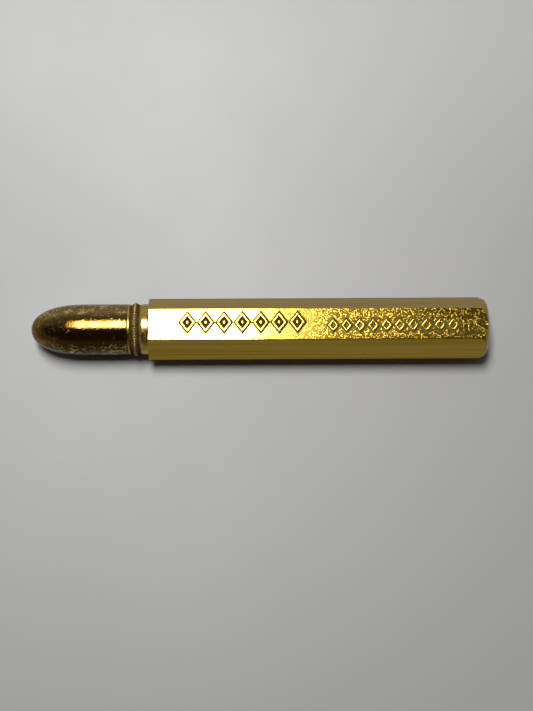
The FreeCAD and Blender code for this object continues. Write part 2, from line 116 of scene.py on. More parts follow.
class NodeBench:
    """Lays out and links the nodes of one material or node group."""

    # Which inputs of a Mix node hold the share, the first and the second value.
    COLOR_MIX = (0, 6, 7)
    NUMBER_MIX = (0, 2, 3)

    def __init__(self, tree: bpy.types.NodeTree) -> None:
        """Start on an empty tree."""
        self.tree = tree
        tree.nodes.clear()

    def add(self, kind: str, **settings: object) -> bpy.types.Node:
        """Add a node and set its properties.

        Args:
            kind: The node's type name without the ShaderNode prefix.
            settings: Properties of the node.

        Returns:
            The new node.
        """
        prefix = "" if kind.startswith("Node") else "ShaderNode"
        node = self.tree.nodes.new(prefix + kind)
        for name, setting in settings.items():
            setattr(node, name, setting)
        return node

    def give(self, socket: bpy.types.NodeSocket, value: object) -> None:
        """Link another node's output to an input, or set the input to a plain value."""
        if isinstance(value, bpy.types.NodeSocket):
            self.tree.links.new(value, socket)
        else:
            socket.default_value = value

    def feed(self, node: bpy.types.Node, **values: object) -> bpy.types.Node:
        """Set or link inputs by name, with underscores for spaces.

        Args:
            node: The node whose inputs are fed.
            values: Plain values, or output sockets to link.

        Returns:
            The same node.
        """
        for name, value in values.items():
            self.give(node.inputs[name.replace("_", " ")], value)
        return node

    def math(self, operation: str, *values: object, clamp: bool = False) -> bpy.types.NodeSocket:
        """Combine numbers.

        Args:
            operation: The Math node's operation.
            values: Numbers or sockets.
            clamp: Whether the result is kept between 0 and 1.

        Returns:
            The result's socket.
        """
        node = self.add("Math", operation=operation, use_clamp=clamp)
        for index, value in enumerate(values):
            self.give(node.inputs[index], value)
        return node.outputs[0]

    def times(self, first: object, second: object) -> bpy.types.NodeSocket:
        """Multiply two numbers."""
        return self.math("MULTIPLY", first, second)

    def plus(self, first: object, second: object) -> bpy.types.NodeSocket:
        """Add two numbers."""
        return self.math("ADD", first, second)

    def ramp(self, value: bpy.types.NodeSocket, low: float, high: float) -> bpy.types.NodeSocket:
        """Bring a value's range low to high smoothly to 0 to 1."""
        node = self.add("MapRange", interpolation_type="SMOOTHSTEP")
        self.feed(node, Value=value, From_Min=low, From_Max=high)
        return node.outputs["Result"]

    def mix(self, share: object, first: object, second: object) -> bpy.types.NodeSocket:
        """Mix two colours by a share."""
        node = self.add("Mix", data_type="RGBA")
        for index, value in zip(self.COLOR_MIX, (share, first, second)):
            self.give(node.inputs[index], value)
        return node.outputs[2]

    def blend(self, share: object, first: object, second: object) -> bpy.types.NodeSocket:
        """Mix two numbers by a share."""
        node = self.add("Mix", data_type="FLOAT")
        for index, value in zip(self.NUMBER_MIX, (share, first, second)):
            self.give(node.inputs[index], value)
        return node.outputs[0]

    def scaled(self, vector: object, scale: object) -> bpy.types.NodeSocket:
        """Scale a vector."""
        node = self.add("VectorMath", operation="SCALE")
        return self.feed(node, Vector=vector, Scale=scale).outputs["Vector"]

    def split(self, vector: object) -> bpy.types.NodeOutputs:
        """Split a vector into outputs X, Y and Z."""
        return self.feed(self.add("SeparateXYZ"), Vector=vector).outputs

    def stored(self, name: str) -> bpy.types.NodeSocket:
        """Read a share that is stored on the mesh's points."""
        return self.add("Attribute", attribute_name=name).outputs["Fac"]

    def noise(self, vector: object, scale: float, detail: float = 3.0,
              rough: float = 0.55) -> bpy.types.NodeSocket:
        """Sample a noise, 0 to 1, at a vector."""
        node = self.add("TexNoise")
        self.feed(node, Vector=vector, Scale=scale, Detail=detail, Roughness=rough)
        return node.outputs["Fac"]


@dataclass(frozen=True)
class GroupSpec:
    """Names of a shared node group and of its sockets."""

    name: str
    inputs: tuple[tuple[str, str, object], ...]
    outputs: tuple[str, ...]


class SharedGroups:
    """Node groups that several finishes use, each built once."""

    # Noise scales per metre: a feature is about one over the scale across.
    FINE_LINE, BROAD_LINE = 9000.0, 1600.0
    PEBBLE, WAVE, FACET = 6500.0, 2100.0, 7500.0
    ISLAND, CRUMB, DIRT_GAP = 620.0, 2900.0, 2600.0

    def __init__(self) -> None:
        """Build all groups."""
        vector = ("Vector", "NodeSocketVector", None)
        scale = ("Scale", "NodeSocketFloat", 1.0)
        stretch = ("Stretch", "NodeSocketFloat", 0.02)
        amount = ("Amount", "NodeSocketFloat", 0.0)
        crease = ("Crease", "NodeSocketFloat", 0.0)
        lines = GroupSpec("tool_lines", (vector, stretch, scale), ("Lines", "Broad"))
        grain = GroupSpec("metal_grain", (vector, scale), ("Height", "Sparkle"))
        spots = GroupSpec("worn_spots", (vector, scale, amount), ("Mask", "Halo"))
        grime_and_shade = GroupSpec("settled_grime_and_shade", (vector, crease), ("Mask",))
        self.lines = self._make(lines, self._lines)
        self.grain = self._make(grain, self._grain)
        self.spots = self._make(spots, self._spots)
        self.grime_and_shade = self._make(grime_and_shade, self._grime_and_shade)

    @staticmethod
    def _make(spec: GroupSpec, fill: Callable[[NodeBench, dict], dict]) -> bpy.types.NodeTree:
        """Make a group's sockets and fill it.

        Args:
            spec: The names of the group and its sockets.
            fill: Builds the inside from the input sockets and returns the output values by name.

        Returns:
            The finished node tree.
        """
        tree = bpy.data.node_groups.new(spec.name, "ShaderNodeTree")
        for name, kind, default in spec.inputs:
            socket = tree.interface.new_socket(name=name, in_out="INPUT", socket_type=kind)
            if default is not None:
                socket.default_value = default
        for name in spec.outputs:
            tree.interface.new_socket(name=name, in_out="OUTPUT", socket_type="NodeSocketFloat")
        bench = NodeBench(tree)
        entry = bench.add("NodeGroupInput")
        leave = bench.add("NodeGroupOutput")
        results = fill(bench, {name: entry.outputs[name] for name, _, _ in spec.inputs})
        for name, value in results.items():
            tree.links.new(value, leave.inputs[name])
        return tree

    @staticmethod
    def _lines(bench: NodeBench, given: dict) -> dict:
        """Fine lines that a die or a lathe tool leaves along X, and broad bands under them."""
        parts = bench.split(given["Vector"])
        along = bench.times(parts["X"], given["Stretch"])
        joined = bench.feed(bench.add("CombineXYZ"), X=along, Y=parts["Y"], Z=parts["Z"])
        place = bench.scaled(joined.outputs["Vector"], given["Scale"])
        fine = bench.noise(place, SharedGroups.FINE_LINE, 2.0, 0.6)
        broad = bench.noise(place, SharedGroups.BROAD_LINE, 2.0, 0.5)
        lines = bench.plus(bench.times(fine, 0.6), bench.times(broad, 0.4))
        return {"Lines": lines, "Broad": broad}

    @staticmethod
    def _grain(bench: NodeBench, given: dict) -> dict:
        """The pebbled skin that a stamping die leaves, and the odd facet that sparkles."""
        place = bench.scaled(given["Vector"], given["Scale"])
        pebbles = bench.noise(place, SharedGroups.PEBBLE, 3.0, 0.6)
        waves = bench.noise(place, SharedGroups.WAVE, 2.0, 0.5)
        cells = bench.feed(bench.add("TexVoronoi", feature="F1"), Vector=place, Scale=SharedGroups.FACET)
        height = bench.plus(bench.times(pebbles, 0.8), bench.times(waves, 0.35))
        sparkle = bench.ramp(cells.outputs["Color"], 0.7, 0.95)
        return {"Height": height, "Sparkle": sparkle}

    @staticmethod
    def _spots(bench: NodeBench, given: dict) -> dict:
        """Ragged spots where a finish has gone; Amount sets how much of it, and Halo runs round them."""
        place = bench.scaled(given["Vector"], given["Scale"])
        islands = bench.noise(place, SharedGroups.ISLAND, 2.0, 0.5)
        crumbs = bench.noise(place, SharedGroups.CRUMB, 4.0, 0.6)
        level = bench.plus(bench.times(islands, 0.8), crumbs)
        level = bench.plus(level, given["Amount"])
        return {"Mask": bench.ramp(level, 1.04, 1.09), "Halo": bench.ramp(level, 0.96, 1.06)}

    @staticmethod
    def _grime_and_shade(bench: NodeBench, given: dict) -> dict:
        """Dirt and painted shade in creases, broken up along them."""
        broken = bench.noise(given["Vector"], SharedGroups.DIRT_GAP, 3.0, 0.6)
        share = bench.times(given["Crease"], bench.plus(broken, 0.55))
        return {"Mask": bench.math("MINIMUM", share, 1.0, clamp=True)}

    @staticmethod
    def use(bench: NodeBench, tree: bpy.types.NodeTree, **values: object) -> bpy.types.Node:
        """Place a group in a material with its own values."""
        node = bench.add("Group", node_tree=tree)
        return bench.feed(node, **values)


# ---------------------------------------------------------------- finishes


@dataclass(frozen=True)
class Finish:
    """What every finish shares: a name, and a material made on first use."""

    # Grime and painted shade hardly mirror anything, so their specular level is low.
    GRIME_AND_SHADE_GLOSS = 0.12

    name: str

    def material(self, groups: SharedGroups) -> bpy.types.Material:
        """Return the finish's material, making it the first time.

        Args:
            groups: The shared node groups.

        Returns:
            The Blender material.
        """
        made = bpy.data.materials.get(self.name)
        if made:
            return made
        made = bpy.data.materials.new(self.name)
        made.use_nodes = True
        bench = NodeBench(made.node_tree)
        shader = bench.add("BsdfPrincipled")
        output = bench.add("OutputMaterial")
        made.node_tree.links.new(shader.outputs["BSDF"], output.inputs["Surface"])
        place = bench.add("TexCoord").outputs["Object"]
        self.fill(bench, shader, place, groups)
        return made

    def fill(self, bench: NodeBench, shader: bpy.types.Node, place: bpy.types.NodeSocket,
             groups: SharedGroups) -> None:
        """Build the nodes behind the shader's sockets."""
        raise NotImplementedError

    @staticmethod
    def bump(bench: NodeBench, shader: bpy.types.Node, height: bpy.types.NodeSocket, depth: float) -> None:
        """Feed a height, 0 to 1 for depth millimetres, to the shader's normal."""
        node = bench.add("Bump")
        bench.feed(node, Height=height, Distance=depth * MM, Strength=1.0)
        bench.feed(shader, Normal=node.outputs["Normal"])


@dataclass(frozen=True)
class DrawnBrass(Finish):
    """Bright brass drawn through a die, stamped on one flat, with grime and painted shade in its creases."""

    bright: Color = (0.57, 0.388, 0.066, 1)
    warm: Color = (0.45, 0.288, 0.033, 1)
    grime_and_shade: Color = (0.024, 0.012, 0.003, 1)
    roughness: float = 0.08
    stamped_roughness: float = 0.045
    line_roughness: float = 0.06
    glint_roughness: float = 0.03
    grime_and_shade_roughness: float = 0.8
    grime_and_shade_metallic: float = 0.1
    struck: Band = (0.012, 0.031)
    light_strike: float = 0.27
    relief: float = 0.010

    def fill(self, bench: NodeBench, shader: bpy.types.Node, place: bpy.types.NodeSocket,
             groups: SharedGroups) -> None:
        """Mix draw lines, stamped grain, specks, and grime with painted shade in the creases.

        The die struck the flat harder towards its far end: along the band called struck, the grain grows from
        its light strike to its full height.
        """
        lines = groups.use(bench, groups.lines, Vector=place, Stretch=0.015, Scale=1.0)
        grain = groups.use(bench, groups.grain, Vector=place, Scale=1.45)
        specks = groups.use(bench, groups.spots, Vector=place, Scale=1.7, Amount=-0.16)
        stamped = bench.stored("stamped")
        grime_and_shade = groups.use(bench, groups.grime_and_shade, Vector=place, Crease=bench.stored("crease")).outputs["Mask"]
        # Grime with painted shade in the creases, and dirt specks, darken the brass.
        dirt_and_shade = bench.math("MAXIMUM", grime_and_shade, bench.times(specks.outputs["Mask"], 0.8))

        metal = bench.mix(bench.ramp(lines.outputs["Broad"], 0.3, 0.7), self.bright, self.warm)
        dirt_and_shade_share = bench.math("POWER", dirt_and_shade, 0.5)
        bench.feed(shader, Base_Color=bench.mix(dirt_and_shade_share, metal, self.grime_and_shade),
                   Metallic=bench.blend(dirt_and_shade_share, 1.0, self.grime_and_shade_metallic), Specular_IOR_Level=self.GRIME_AND_SHADE_GLOSS)
        smooth = bench.blend(stamped, self.roughness, self.stamped_roughness)
        rough = bench.plus(smooth, bench.times(lines.outputs["Lines"], self.line_roughness))
        glints = bench.times(grain.outputs["Sparkle"], stamped)
        rough = bench.plus(rough, bench.times(glints, self.glint_roughness))
        rough = bench.blend(bench.math("POWER", dirt_and_shade, 3.0), rough, self.grime_and_shade_roughness)
        bench.feed(shader, Roughness=rough)

        drawn = bench.times(lines.outputs["Lines"], bench.blend(stamped, 0.35, 0.12))
        struck = bench.ramp(bench.split(place)["X"], *self.struck)
        pebbled = bench.times(grain.outputs["Height"], stamped)
        pebbled = bench.times(pebbled, bench.plus(grain.outputs["Sparkle"], 0.35))
        pebbled = bench.times(pebbled, bench.blend(struck, self.light_strike, 1.0))
        self.bump(bench, shader, bench.plus(drawn, pebbled), self.relief)


@dataclass(frozen=True)
class WornPatina(Finish):
    """Dark brown patina on a metal-jacketed bullet, rubbed through to brass in ragged spots, with painted
    light on its far flank and painted shade on its near flank.
    """

    patina: Color = (0.21, 0.128, 0.032, 1)
    deep: Color = (0.20, 0.092, 0.014, 1)
    painted_light: Color = (0.27, 0.19, 0.070, 1)
    shaded: Color = (0.050, 0.033, 0.010, 1)
    worn: Color = (0.74, 0.56, 0.20, 1)
    far_flank: Band = (0.0009, 0.0021)
    near_flank: Band = (-0.0024, -0.0031)
    tip: Band = (-0.0285, -0.0325)
    polish: float = 0.09
    scuffed: float = 0.30
    worn_roughness: float = 0.34
    relief: float = 0.010

    def fill(self, bench: NodeBench, shader: bpy.types.Node, place: bpy.types.NodeSocket,
             groups: SharedGroups) -> None:
        """Mix patina and the worn spots, which crowd on the two flanks and the tip; paint the far flank
        lighter and the near flank darker, as painted light and shade.
        """
        parts = bench.split(place)
        far_flank = bench.ramp(parts["Y"], *self.far_flank)
        near_flank = bench.ramp(parts["Y"], *self.near_flank)
        tip = bench.ramp(parts["X"], *self.tip)
        flanks = bench.math("MAXIMUM", far_flank, near_flank)
        spots = groups.use(bench, groups.spots, Vector=place, Scale=1.9,
                           Amount=bench.blend(flanks, -0.13, 0.045))
        crumbs = groups.use(bench, groups.spots, Vector=place, Scale=3.2,
                            Amount=bench.blend(tip, -0.14, 0.08))
        grain = groups.use(bench, groups.grain, Vector=place, Scale=0.75)
        clouds = bench.ramp(bench.noise(place, 420.0, 3.0, 0.6), 0.35, 0.7)
        skin = bench.mix(clouds, self.patina, self.deep)
        # Painted light: the far flank is lightened. Painted shade: the near flank is darkened.
        skin = bench.mix(bench.times(far_flank, 0.6), skin, self.painted_light)
        skin = bench.mix(bench.times(near_flank, 0.85), skin, self.shaded)
        skin = bench.mix(bench.times(spots.outputs["Halo"], 0.30), skin, self.worn)
        skin = bench.mix(bench.times(crumbs.outputs["Mask"], 0.40), skin, self.worn)
        bench.feed(shader, Base_Color=bench.mix(spots.outputs["Mask"], skin, self.worn), Metallic=1.0)
        rough = bench.plus(self.polish, bench.times(clouds, 0.04))
        rough = bench.blend(bench.times(crumbs.outputs["Halo"], 0.5), rough, self.scuffed)
        bench.feed(shader, Roughness=bench.blend(spots.outputs["Halo"], rough, self.worn_roughness))
        pitted = bench.times(spots.outputs["Halo"], -0.5)
        height = bench.plus(pitted, bench.times(grain.outputs["Height"], 2.6))
        self.bump(bench, shader, height, self.relief)


@dataclass(frozen=True)
class TurnedMetal(Finish):
    """Metal turned on a lathe: fine rings round the axis, and dirt with painted shade in the grooves."""

    metal: Color = (0.66, 0.47, 0.15, 1)
    shade: Color = (0.52, 0.34, 0.09, 1)
    grime_and_shade: Color = (0.050, 0.028, 0.008, 1)
    roughness: float = 0.22
    tarnish: float = -0.06
    ring_roughness: float = 0.12
    grime_and_shade_roughness: float = 0.7
    grime_and_shade_metallic: float = 0.2
    relief: float = 0.004

    def fill(self, bench: NodeBench, shader: bpy.types.Node, place: bpy.types.NodeSocket,
             groups: SharedGroups) -> None:
        """Mix tool rings, tarnish, and grime with painted shade in the grooves."""
        across = bench.feed(bench.add("CombineXYZ"), X=0.0, Y=bench.split(place)["X"], Z=0.0)
        rings = groups.use(bench, groups.lines, Vector=across.outputs["Vector"], Stretch=0.0, Scale=1.6)
        spots = groups.use(bench, groups.spots, Vector=place, Scale=1.5, Amount=self.tarnish)
        grime_and_shade = groups.use(bench, groups.grime_and_shade, Vector=place, Crease=bench.stored("crease")).outputs["Mask"]
        # Grime with painted shade in the grooves, and tarnish, darken the metal.
        dirt_and_shade = bench.math("MAXIMUM", grime_and_shade, bench.times(spots.outputs["Halo"], 0.5))
        metal = bench.mix(bench.ramp(bench.noise(place, 600.0), 0.35, 0.65), self.metal, self.shade)
        bench.feed(shader, Base_Color=bench.mix(dirt_and_shade, metal, self.grime_and_shade),
                   Metallic=bench.blend(dirt_and_shade, 1.0, self.grime_and_shade_metallic), Specular_IOR_Level=self.GRIME_AND_SHADE_GLOSS)
        rough = bench.plus(self.roughness, bench.times(rings.outputs["Lines"], self.ring_roughness))
        bench.feed(shader, Roughness=bench.blend(dirt_and_shade, rough, self.grime_and_shade_roughness))
        self.bump(bench, shader, rings.outputs["Lines"], self.relief)


@dataclass(frozen=True)
class Graphite(Finish):
    """Extruded graphite lead, dark grey with a silky streak along it."""

    dark: Color = (0.035, 0.035, 0.038, 1)
    light: Color = (0.09, 0.09, 0.095, 1)
    sheen: Band = (0.42, 0.55)
    relief: float = 0.006

    def fill(self, bench: NodeBench, shader: bpy.types.Node, place: bpy.types.NodeSocket,
             groups: SharedGroups) -> None:
        """Mix the streaks of extrusion."""
        lines = groups.use(bench, groups.lines, Vector=place, Stretch=0.02, Scale=1.2)
        streak = bench.ramp(lines.outputs["Lines"], 0.35, 0.65)
        bench.feed(shader, Base_Color=bench.mix(streak, self.dark, self.light), Metallic=0.35)
        bench.feed(shader, Roughness=bench.blend(streak, *self.sheen))
        self.bump(bench, shader, lines.outputs["Lines"], self.relief)


@dataclass(frozen=True)
class PaleTable(Finish):
    """A pale table top with a soft sheen, painted darker towards the viewer as painted shade."""

    near: Color = (0.300, 0.299, 0.290, 1)
    far: Color = (0.385, 0.382, 0.370, 1)
    painted_falloff: Band = (0.008, 0.055)
    sheen: Band = (0.42, 0.45)

    def fill(self, bench: NodeBench, shader: bpy.types.Node, place: bpy.types.NodeSocket,
             groups: SharedGroups) -> None:
        """Paint the tone darker towards the viewer, a painted shade for the lamps' fall-off, and mix a faint
        cloudiness into the sheen.
        """
        away = bench.ramp(bench.split(place)["Y"], *self.painted_falloff)
        clouds = bench.ramp(bench.noise(place, 24.0, 4.0, 0.6), 0.3, 0.7)
        # Painted shade: the floor is darker near the viewer and lighter further away.
        bench.feed(shader, Base_Color=bench.mix(away, self.near, self.far))
        bench.feed(shader, Roughness=bench.blend(clouds, *self.sheen))


# ---------------------------------------------------------------- mesh building


def finish_piece(bm: bmesh.types.BMesh, name: str, body: Body, nodes: Sequence[str],
                 material: bpy.types.Material, sharp: float = 38.0) -> None:
    """Turn a bmesh in millimetres into a finished piece on its body.

    Args:
        bm: The mesh, which is freed.
        name: The piece's name.
        body: The body it rides on.
        nodes: The CAD nodes that it stands for.
        material: Its material.
        sharp: Edges sharper than this angle, in degrees, are shaded hard.
    """
    bmesh.ops.scale(bm, vec=Vector((MM, MM, MM)), verts=bm.verts[:])
    for face in bm.faces:
        face.smooth = True
    mesh = bpy.data.meshes.new(name)
    bm.to_mesh(mesh)
    bm.free()
    mesh.set_sharp_from_angle(angle=math.radians(sharp))
    mesh.materials.append(material)
    piece = bpy.data.objects.new(name, mesh)
    bpy.context.scene.collection.objects.link(piece)
    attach(piece, body.value)
    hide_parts(*nodes)
    LOG.info("%s: %d faces", name, len(mesh.polygons))


def brace(outline: Sequence[Point], closed: bool, margin: float = 0.12) -> list[Point]:
    """Add a point near both ends of each long stretch, so that a bevel beside it can't bend its shading.

    Args:
        outline: The points, in order.
        closed: Whether the last point joins the first.
        margin: How far from the ends the new points lie.

    Returns:
        The outline with the new points.
    """
    braced: list[Point] = []
    following = list(outline[1:]) + (list(outline[:1]) if closed else [])
    for here, there in zip(outline, following):
        braced.append(here)
        length = math.dist(here, there)
        if length > 4 * margin:
            braced += [
                tuple(a + (b - a) * share for a, b in zip(here, there))
                for share in (margin / length, 1 - margin / length)
            ]
    return braced if closed else braced + [outline[-1]]


def spin_outline(outline: Sequence[Point], height: float, steps: int = 128,
                 closed: bool = True) -> bmesh.types.BMesh:
    """Spin an outline of (along, radius) points about the common axis.

    Args:
        outline: The points, in order.
        height: The axis's height.
        steps: How many steps the full turn has.
        closed: Whether the last point joins the first.

    Returns:
        A closed surface with outward normals, or an open one if the outline is open.
    """
    bm = bmesh.new()
    verts = [bm.verts.new((along, 0.0, height + radius)) for along, radius in brace(outline, closed)]
    edges = [bm.edges.new(pair) for pair in zip(verts, verts[1:])]
    if closed:
        edges.append(bm.edges.new((verts[-1], verts[0])))
    bmesh.ops.spin(bm, geom=verts + edges, cent=(0, 0, height), axis=(1, 0, 0), angle=math.tau,
                   steps=steps, use_merge=True)
    bmesh.ops.remove_doubles(bm, verts=bm.verts[:], dist=1e-4)
    bmesh.ops.recalc_face_normals(bm, faces=bm.faces[:])
    return bm


def soften_edges(bm: bmesh.types.BMesh, offset: float, angle: float = 25.0, segments: int = 2) -> None:
    """Bevel every edge sharper than an angle.

    Args:
        bm: The mesh.
        offset: The bevel's width.
        angle: The least angle between the faces, in degrees.
        segments: The bevel's segments.
    """
    limit = math.radians(angle)
    sharp = [edge for edge in bm.edges if edge.is_manifold and edge.calc_face_angle(0) > limit]
    bmesh.ops.bevel(bm, geom=sharp, offset=offset, offset_type="OFFSET", segments=segments, profile=0.5,
                    affect="EDGES", clamp_overlap=True, material=-1)


def mark_creases(bm: bmesh.types.BMesh, measure: Callable[[Vector], float]) -> None:
    """Store how much grime and painted shade each point gets.

    Args:
        bm: The mesh.
        measure: Gives a share from 0 to 1 for a point.
    """
    layer = bm.verts.layers.float.new("crease")
    for vert in bm.verts:
        vert[layer] = measure(vert.co)


def spread(start: float, end: float, count: int) -> list[float]:
    """Place count + 1 numbers evenly from start to end."""
    return [start + (end - start) * i / count for i in range(count + 1)]


def bell(distance: float, width: float) -> float:
    """A smooth bump that is 1 at no distance and fades over the width."""
    return math.exp(-((distance / width) ** 2))


def smooth_step(value: float) -> float:
    """Ease from 0 to 1."""
    clipped = min(max(value, 0.0), 1.0)
    return clipped * clipped * (3 - 2 * clipped)


# ---------------------------------------------------------------- ornament


class Motif(Enum):
    """The shapes that the ornament's rows are made of."""

    OPEN_LOZENGE = "open_lozenge"
    SOLID_LOZENGE = "solid_lozenge"


@dataclass(frozen=True)
class Stamp:
    """One raised motif on the upper flat."""

    motif: Motif
    along: float
    across: float
    half_length: float
    half_width: float
    band: float = 0.42

    def depth(self, along: float, across: float) -> float:
        """Distance inside the raised stroke, negative outside it.

        Args:
            along: The point's X.
            across: The point's Y.

        Returns:
            Millimetres from the stroke's edge.
        """
        x, y = abs(along - self.along), abs(across - self.across)
        slope = math.hypot(1 / self.half_length, 1 / self.half_width)
        rim = (1 - x / self.half_length - y / self.half_width) / slope
        if self.motif is Motif.SOLID_LOZENGE:
            return rim
        return self.band / 2 - abs(rim - self.band / 2)


@dataclass(frozen=True)
class Ornament:
    """Two rows of plain motifs, large then small.

    Grime and painted shade sit at the foot of a stroke's slope, and strokes further away than the search are
    passed over.
    """

    stamps: tuple[Stamp, ...]
    height: float = 0.15
    slope: float = 0.13
    foot: float = 0.08
    foot_width: float = 0.10
    search: float = 0.6

    @classmethod
    def rows(cls, tip: float) -> "Ornament":
        """Lay out the rows.

        Args:
            tip: X of the bullet's tip, from which the rows' places are counted.

        Returns:
            The ornament.
        """
        large_start, large_pitch, large_across = tip + 24.75, 2.85, 0.28
        small_start, small_pitch, small_across = tip + 47.375, 2.07, -0.27
        stamps: list[Stamp] = []
        for index in range(7):
            along = large_start + large_pitch * index
            rim = Stamp(Motif.OPEN_LOZENGE, along, large_across, half_length=1.25, half_width=1.6)
            core = Stamp(Motif.SOLID_LOZENGE, along, large_across, half_length=0.34, half_width=0.43)
            stamps += [rim, core]
        for index in range(10):
            along = small_start + small_pitch * index
            stamps.append(Stamp(Motif.OPEN_LOZENGE, along, small_across, half_length=0.875, half_width=1.05,
                                band=0.36))
        return cls(tuple(stamps))

    def depth(self, along: float, across: float) -> float:
        """Distance inside the nearest stroke, negative outside all of them."""
        near = [
            stamp for stamp in self.stamps if abs(along - stamp.along) < stamp.half_length + self.search
        ]
        return max((stamp.depth(along, across) for stamp in near), default=-1.0)

    def rise(self, along: float, across: float) -> float:
        """Height of the relief at a point."""
        return self.height * smooth_step(self.depth(along, across) / self.slope + 0.5)

    def crease(self, along: float, across: float) -> float:
        """How much grime and painted shade the foot of the relief gets at a point."""
        return bell(self.depth(along, across) + self.foot, self.foot_width)


# ---------------------------------------------------------------- barrel


@dataclass(frozen=True)
class Station:
    """One cross-section of the barrel's skin."""

    along: float
    inset: float
    limit: float


@dataclass(frozen=True)
class Column:
    """One lengthwise line of the barrel's skin: a point of a flat, or of a corner's rounding."""

    face: int
    lateral: float = 0.0
    turn: float | None = None


@dataclass
class Barrel:
    """The hexagonal barrel and the disc that closes its far end.

    Between stamped_from and stamped_to, which count from the bullet's tip, the skin is fine enough for the
    ornament.
    """

    # The flat that is stamped, counted round from the lowest one.
    UPPER = 3

    groups: SharedGroups
    tube: Span = field(default_factory=lambda: Span.of("barrel_tube"))
    plug: Span = field(default_factory=lambda: Span.of("end_plug"))
    tip: float = field(default_factory=lambda: Span.of("bullet_shell").start)
    axis: float = field(default_factory=lambda: Span.of("bullet_shell").height)
    wall: float = 0.23
    corner_rounding: float = 0.14
    end_rounding: float = 1.7
    hole: float = 2.5
    hole_chamfer: float = 0.04
    stamped_from: float = 22.9
    stamped_to: float = 67.2
    finish: Finish = DrawnBrass("drawn_brass")

    def __post_init__(self) -> None:
        """Work out the sizes that follow from the frame."""
        self.flats = 2 * self.axis
        self.corner = self.flats / math.sqrt(3)
        self.ornament = Ornament.rows(self.tip)

    def build(self) -> None:
        """Make both pieces."""
        self._tube()
        self._plug()

    def _stations(self) -> list[Station]:
        """List the cross-sections from the mouth's lip over the end and back along the inside."""
        behind_lip, end = self.tube.start + 0.4, self.tube.end
        straight = end - self.end_rounding
        core = self.corner - self.end_rounding
        stamped, plain = self.tip + self.stamped_from, self.tip + self.stamped_to
        places = spread(behind_lip, stamped, 16) + spread(stamped, plain, 600)[1:]
        places += spread(plain, straight, 14)[1:-1]
        limits = spread(core, self.hole + self.hole_chamfer, 3)[1:]
        return [
            *self._lip(-1, spread(0, math.pi / 2, 4)),
            *(Station(place, 0.0, self.corner) for place in places),
            *self._rounding(0.0, spread(0, math.pi / 2, 44)),
            *(Station(end, 0.0, limit) for limit in limits),
            Station(end - self.hole_chamfer, 0.0, self.hole),
            Station(end - self.wall, self.wall, self.hole),
            *self._rounding(self.wall, spread(math.pi / 2, 0, 10)),
            *(Station(place, self.wall, self.corner) for place in spread(straight, behind_lip, 6)[1:]),
            *self._lip(1, spread(math.pi / 2, 0, 4)),
        ]

    def _lip(self, side: int, turns: Sequence[float]) -> list[Station]:
        """Round the mouth's edge over to the outside, for side -1, or to the inside, for 1."""
        lip, mouth = self.wall / 2, self.tube.start
        return [
            Station(mouth + lip * (1 - math.cos(turn)), lip * (1 + side * math.sin(turn)), self.corner)
            for turn in turns
        ]

    def _rounding(self, inset: float, turns: Sequence[float]) -> list[Station]:
        """Round the far end off, on the skin that lies so far in."""
        straight, core = self.tube.end - self.end_rounding, self.corner - self.end_rounding
        reach = self.end_rounding - inset
        return [
            Station(straight + reach * math.sin(turn), inset, core + reach * math.cos(turn)) for turn in turns
        ]

    def _columns(self) -> list[Column]:
        """List the lengthwise lines round the hexagon, finest on the upper flat."""
        columns: list[Column] = []
        for face in range(6):
            inner = spread(-0.97, 0.97, 52 if face == self.UPPER else 8)
            columns += [Column(face, lateral) for lateral in (-1.0, *inner, 1.0)]
            columns += [Column(face, turn=turn) for turn in spread(0, math.pi / 3, 5)[1:-1]]
        columns.append(columns[0])
        return columns

    def _point(self, column: Column, inset: float) -> Point:
        """Place a column on the hexagon.

        Args:
            column: The lengthwise line.
            inset: How far the hexagon is drawn in from the outside.

        Returns:
            Y and the height above the axis.
        """
        half = self.flats / 2 - inset
        rounding = max(self.corner_rounding - inset, 0.02)
        angle = math.pi + column.face * math.pi / 3
        if column.turn is None:
            run = column.lateral * (half - rounding) * math.tan(math.pi / 6)
            return (math.sin(angle) * half + math.cos(angle) * run,
                    math.cos(angle) * half - math.sin(angle) * run)
        centre = (half - rounding) / math.cos(math.pi / 6)
        lean = angle + math.pi / 6
        turn = angle + column.turn
        return (math.sin(lean) * centre + math.sin(turn) * rounding,
                math.cos(lean) * centre + math.cos(turn) * rounding)

    def _tube(self) -> None:
        """Wrap a fine grid round the hexagon and raise the ornament on it."""
        stations, columns = self._stations(), self._columns()
        rows, cols = len(stations), len(columns) - 1
        bm = bmesh.new()
        bmesh.ops.create_grid(bm, x_segments=rows, y_segments=cols, size=1.0)
        crease = bm.verts.layers.float.new("crease")
        stamped = bm.verts.layers.float.new("stamped")
        for vert in bm.verts:
            station = stations[round((vert.co.x + 1) / 2 * rows) % rows]
            column = columns[round((vert.co.y + 1) / 2 * cols)]
            across, up = self._point(column, station.inset)
            radius = math.hypot(across, up)
            if radius > station.limit:
                across, up = across * station.limit / radius, up * station.limit / radius
            rise = 0.0
            upper = column.face == self.UPPER and column.turn is None and station.inset == 0.0
            if upper and station.limit == self.corner:
                rise = self.ornament.rise(station.along, across)
                # Grime and painted shade at the foot of the relief.
                vert[crease] = self.ornament.crease(station.along, across)
            vert[stamped] = 1.0 if upper else 0.0
            vert.co = (station.along, across, self.axis + up + rise)
        bmesh.ops.remove_doubles(bm, verts=bm.verts[:], dist=1e-4)
        bmesh.ops.recalc_face_normals(bm, faces=bm.faces[:])
        finish_piece(bm, "barrel_tube_skin", Body.BARREL, ["barrel_tube"],
                     self.finish.material(self.groups), sharp=60)

